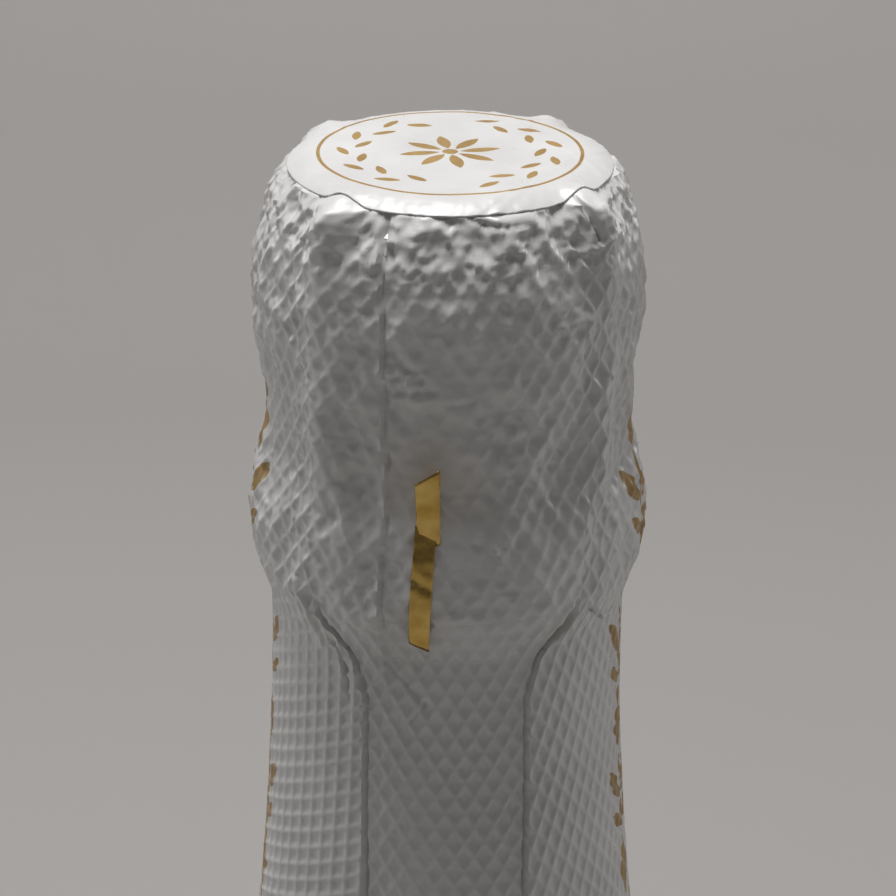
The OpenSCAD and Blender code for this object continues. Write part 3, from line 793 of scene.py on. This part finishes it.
# Straight lines pressed up across the disc: the way each faces, its distance from the middle, and its width
PRESSED_LINES = [(28.0, 9.4, 0.5), (150.0, -10.2, 0.5), (98.0, 8.0, 0.4), (-35.0, 10.0, 0.45)]


def edge_waver(azimuth):
    """How the disc's edge strays from a circle, the same along each radius."""
    turn = math.radians(azimuth)
    return noise.noise(Vector((math.cos(turn) * WAVER_FINENESS, math.sin(turn) * WAVER_FINENESS, 5.0)))


def disc_faces(rows, around):
    """Faces of rows of points, from the disc's top middle round its edge to its middle underneath."""
    faces = []
    for i in range(rows - 1):
        for k in range(around):
            side = (k + 1) % around
            faces.append((i * around + side, (i + 1) * around + side, (i + 1) * around + k, i * around + k))
    middle, last = rows * around, (rows - 1) * around
    for k in range(around):
        side = (k + 1) % around
        faces.append((middle, side, k))
        faces.append((middle + 1, last + k, last + side))
    return faces


def make_disc(material):
    """The printed disc: a slightly wavy edge turned down over the hood, and a closed underside."""
    columns = np.linspace(-180.0, 180.0, DISC_AROUND, endpoint=False)
    radii = np.concatenate([np.arange(DISC_STEP, DISC_R, DISC_STEP), [DISC_R - DISC_EDGE, DISC_R]])
    a, r = (grid.ravel() for grid in np.meshgrid(columns, radii))
    waver = np.array([edge_waver(azimuth) for azimuth in a])
    rim = r * (1.0 + WAVER * waver * above(r, WAVERS_FROM, over=1.6))
    x, y = rim * np.sin(np.radians(a)), -rim * np.cos(np.radians(a))
    dents = np.array([noise.fractal(Vector((px / DENT_SIZE, py / DENT_SIZE, 2.0)), 1.0, 2.0, 3)
                      for px, py in zip(x, y)])
    pressed = np.zeros(len(x))
    for angle, place, width in PRESSED_LINES:
        c, s = math.cos(math.radians(angle)), math.sin(math.radians(angle))
        pressed += bump(x * c + y * s - place, width)
    folds = crumple(a, r, scale=1.6, seed=3.0) * above(r, FOLDED_FROM, over=0.8)
    z = crown_height(r, a) + DENT * dents + DENT * pressed + EDGE_FOLD * folds
    top = np.stack([x, y, z], axis=-1)
    under = np.stack([x, y, z - FOIL_T], axis=-1).reshape(len(radii), DISC_AROUND, 3)[::-1].reshape(-1, 3)
    middles = [[0.0, 0.0, DISC_TOP], [0.0, 0.0, DISC_TOP - FOIL_T]]
    points = np.concatenate([top, under, middles])
    piece = add_mesh("top_disc_skin", points, disc_faces(2 * len(radii), DISC_AROUND), material)
    printed = disc_ornament(x, y)
    set_gilt(piece, np.concatenate([printed, np.full(len(under), NO_PRINT), [ROSETTE_EYE, NO_PRINT]]))
    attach(piece, "foil_cap")
    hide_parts("top_disc")


TAB_FOOT = 276.9
TAB_TOP = 294.2
TAB_FOLD = 288.6
TAB_FOLD_H = 0.9
TAB_W = 1.9
TAB_T = 0.12
# The tab stands this far off the foil, then its free end leans out on a slight curve
TAB_STAND = 0.42
TAB_FOLD_GAP = 0.16
TAB_LEAN = 0.26
TAB_CURVE = 0.004
TAB_ACROSS = 9
LOWER_ROWS = 34
FOLD_ROWS = 4
UPPER_ROWS = 22
# How steeply the tab is cut at its foot and top and folded, and over how many rows that fades
FOOT_SLANT, FOOT_RUN = -0.35, 6
TOP_SLANT, TOP_RUN = 0.75, 9
FOLD_SLANT, FOLD_RUN = -0.45, 5
# The part below the fold is narrower and drifts to the right as it goes up; the free end is straight
LOWER_SHARE = 0.93
LOWER_START = -0.75
LOWER_DRIFT = 0.95
UPPER_OFF = 0.12
TAB_CRINKLE = 0.09
TAB_DENT = 0.14
TAB_DENT_Z = 283.6


def tab_lines():
    """Heights and radii of the tab's middle line: up over the bulge, a small fold, and the free end."""
    lower = np.linspace(TAB_FOOT, TAB_FOLD, LOWER_ROWS)
    upper = np.linspace(TAB_FOLD - TAB_FOLD_H, TAB_TOP, UPPER_ROWS)
    folded = np.linspace(TAB_FOLD, TAB_FOLD - TAB_FOLD_H, FOLD_ROWS + 2)[1:-1]
    skin = outline_radius(lower) + TAB_STAND
    rise = upper - upper[0]
    free = skin[-1] + TAB_FOLD_GAP + TAB_LEAN * rise - TAB_CURVE * rise ** 2
    back = np.linspace(skin[-1], free[0], FOLD_ROWS + 2)[1:-1]
    return np.concatenate([lower, folded, upper]), np.concatenate([skin, back, free])


def tab_slant(row, u):
    """How far a row's point is moved up, at place u from -1 on the left to 1 on the right."""
    up = row - LOWER_ROWS - FOLD_ROWS
    past = up - (UPPER_ROWS - 1 - TOP_RUN)
    if past > 0:
        return TOP_SLANT * u * past / TOP_RUN
    if 0 <= up < FOLD_RUN:
        return FOLD_SLANT * u * (FOLD_RUN - up) / FOLD_RUN
    if up < 0 and row >= LOWER_ROWS - FOLD_RUN:
        return FOLD_SLANT * u * (row - LOWER_ROWS + FOLD_RUN + 1) / FOLD_RUN
    if row < FOOT_RUN:
        return FOOT_SLANT * u * (FOOT_RUN - row) / FOOT_RUN
    return 0.0


def make_tab(material):
    """The gold tab, a crinkled ribbon with slanted ends, folded once on itself."""
    z, r = tab_lines()
    points = []
    for i in range(len(z)):
        upper = i >= LOWER_ROWS + FOLD_ROWS
        t = (z[i] - TAB_FOOT) / (TAB_TOP - TAB_FOOT)
        half = TAB_W / 2.0 * (1.0 if upper else LOWER_SHARE)
        drift = np.radians(TAB_AZIMUTH) * ARC_R + (UPPER_OFF if upper else LOWER_DRIFT * t + LOWER_START)
        for k in range(TAB_ACROSS):
            u = 2.0 * k / (TAB_ACROSS - 1) - 1.0
            crinkle = TAB_CRINKLE * noise.noise(Vector((u * 0.9, z[i] * 0.8, 4.0 if upper else 9.0)))
            dent = -TAB_DENT * bump(np.array(z[i] + 0.5 * u - TAB_DENT_Z), 0.9)
            out = float(r[i] + crinkle + dent)
            s = (drift + half * u) / ARC_R
            points.append([out * math.sin(s), -out * math.cos(s), z[i] + tab_slant(i, u)])
    corners = (0, 1, TAB_ACROSS + 1, TAB_ACROSS)
    faces = [tuple(i * TAB_ACROSS + k + corner for corner in corners)
             for i in range(len(z) - 1) for k in range(TAB_ACROSS - 1)]
    piece = add_mesh("tear_tab_ribbon", points, faces, material)
    thick = piece.modifiers.new("thickness", "SOLIDIFY")
    thick.thickness = TAB_T * MM
    thick.offset = 0.0
    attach(piece, "tear_tab")
    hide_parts("tear_tab")


def dress(node, material):
    """Gives a CAD node its material."""
    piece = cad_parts[node]
    piece.data.materials.clear()
    piece.data.materials.append(material)


# The floor and the backdrop that it turns up into, in metres
FLOOR_HALF = 9.0
FLOOR_FRONT = -9.0
FLOOR_BACK = 1.0
BACKDROP_BEND = 0.6
BACKDROP_TOP = 2.6


def make_stage():
    """A pale floor that turns up into a backdrop. It is painted darker near the front, where the light from
    above falls strongest, and paler towards the back, where less light reaches: painted light that evens out
    the background.
    """
    material, nodes, links, shader = new_material("studio_floor_painted_light")
    where = nodes.new("ShaderNodeTexCoord")
    place = nodes.new("ShaderNodeSeparateXYZ")
    links.new(where.outputs["Object"], place.inputs["Vector"])
    # Painted light: the colour runs from darker at the front to paler at the back, to even out how the lamps
    # light the floor
    depth = spread(nodes, links, place.outputs["Y"], 0.0, 1.0, 0.2, 1.4)
    tint = ramp(nodes, links, depth, [(0.0, (0.44, 0.425, 0.415)), (0.4, (0.48, 0.462, 0.45)),
                                      (1.0, (0.86, 0.83, 0.81))])
    links.new(tint, shader.inputs["Base Color"])
    shader.inputs["Roughness"].default_value = 0.9
    mesh = bpy.data.meshes.new("floor")
    profile = [(FLOOR_FRONT, 0.0), (FLOOR_BACK, 0.0)]
    profile += [(FLOOR_BACK + BACKDROP_BEND * math.sin(t), BACKDROP_BEND * (1 - math.cos(t)))
                for t in np.linspace(0.1, math.pi / 2, 12)]
    profile.append((FLOOR_BACK + BACKDROP_BEND, BACKDROP_TOP))
    points = [(x, y, z) for y, z in profile for x in (-FLOOR_HALF, FLOOR_HALF)]
    faces = [(2 * i, 2 * i + 1, 2 * i + 3, 2 * i + 2) for i in range(len(profile) - 1)]
    mesh.from_pydata(points, [], faces)
    mesh.polygons.foreach_set("use_smooth", [True] * len(mesh.polygons))
    mesh.materials.append(material)
    floor = bpy.data.objects.new("floor", mesh)
    bpy.context.collection.objects.link(floor)


LIGHT_AIM = (0.0, 0.0, 0.28)
# The lights' names, places and sizes in metres, and powers in watts
LIGHTS = [("above", (-0.10, 0.16, 1.25), 0.5, 10.0),
          ("left", (-1.15, 0.30, 0.65), 0.4, 2.3),
          ("right", (1.15, 0.40, 0.65), 0.4, 2.5)]
WORLD_STRENGTH = 0.125


def area_light(name, place, size, power):
    """A round soft light, aimed at the neck."""
    data = bpy.data.lights.new(name, "AREA")
    data.shape = "DISK"
    data.size = size
    data.energy = power
    light = bpy.data.objects.new(name, data)
    light.location = place
    light.rotation_euler = (Vector(LIGHT_AIM) - Vector(place)).to_track_quat("-Z", "Y").to_euler()
    bpy.context.collection.objects.link(light)


def make_lights():
    """Soft light from above and from both sides, and a faint even light all round."""
    for light in LIGHTS:
        area_light(*light)
    world = bpy.data.worlds.new("studio")
    bpy.context.scene.world = world
    world.use_nodes = True
    background = world.node_tree.nodes["Background"]
    background.inputs["Color"].default_value = (1.0, 0.975, 0.94, 1.0)
    background.inputs["Strength"].default_value = WORLD_STRENGTH


place_camera()
white = foil_material("white_foil", 0.30)
disc_white = foil_material("white_foil_disc", 0.08)
gold = gold_material()
make_hood(white)
make_strip(white)
make_skirt(white)
make_disc(disc_white)
make_tab(gold)
dress("tear_tape", gold)
dress("glass_bottle", glass_material())
dress("wine", wine_material())
grains = cork_material("granulated_cork", 420.0, (0.50, 0.33, 0.19), (0.30, 0.17, 0.09), (0.20, 0.11, 0.06))
dress("cork_body", grains)
natural = cork_material("natural_cork", 240.0, (0.58, 0.40, 0.23), (0.42, 0.26, 0.14), (0.24, 0.13, 0.07))
dress("cork_disc_upper", natural)
dress("cork_disc_lower", natural)
dress("cap_plaque", steel_material("tinplate", (0.75, 0.75, 0.74), 0.3))
wires = steel_material("steel_wire", (0.56, 0.56, 0.57), 0.35)
for node in ("cage_wire", "belt_wire", "wire_loop"):
    dress(node, wires)
make_stage()
make_lights()
bpy.context.scene.view_settings.view_transform = "Standard"
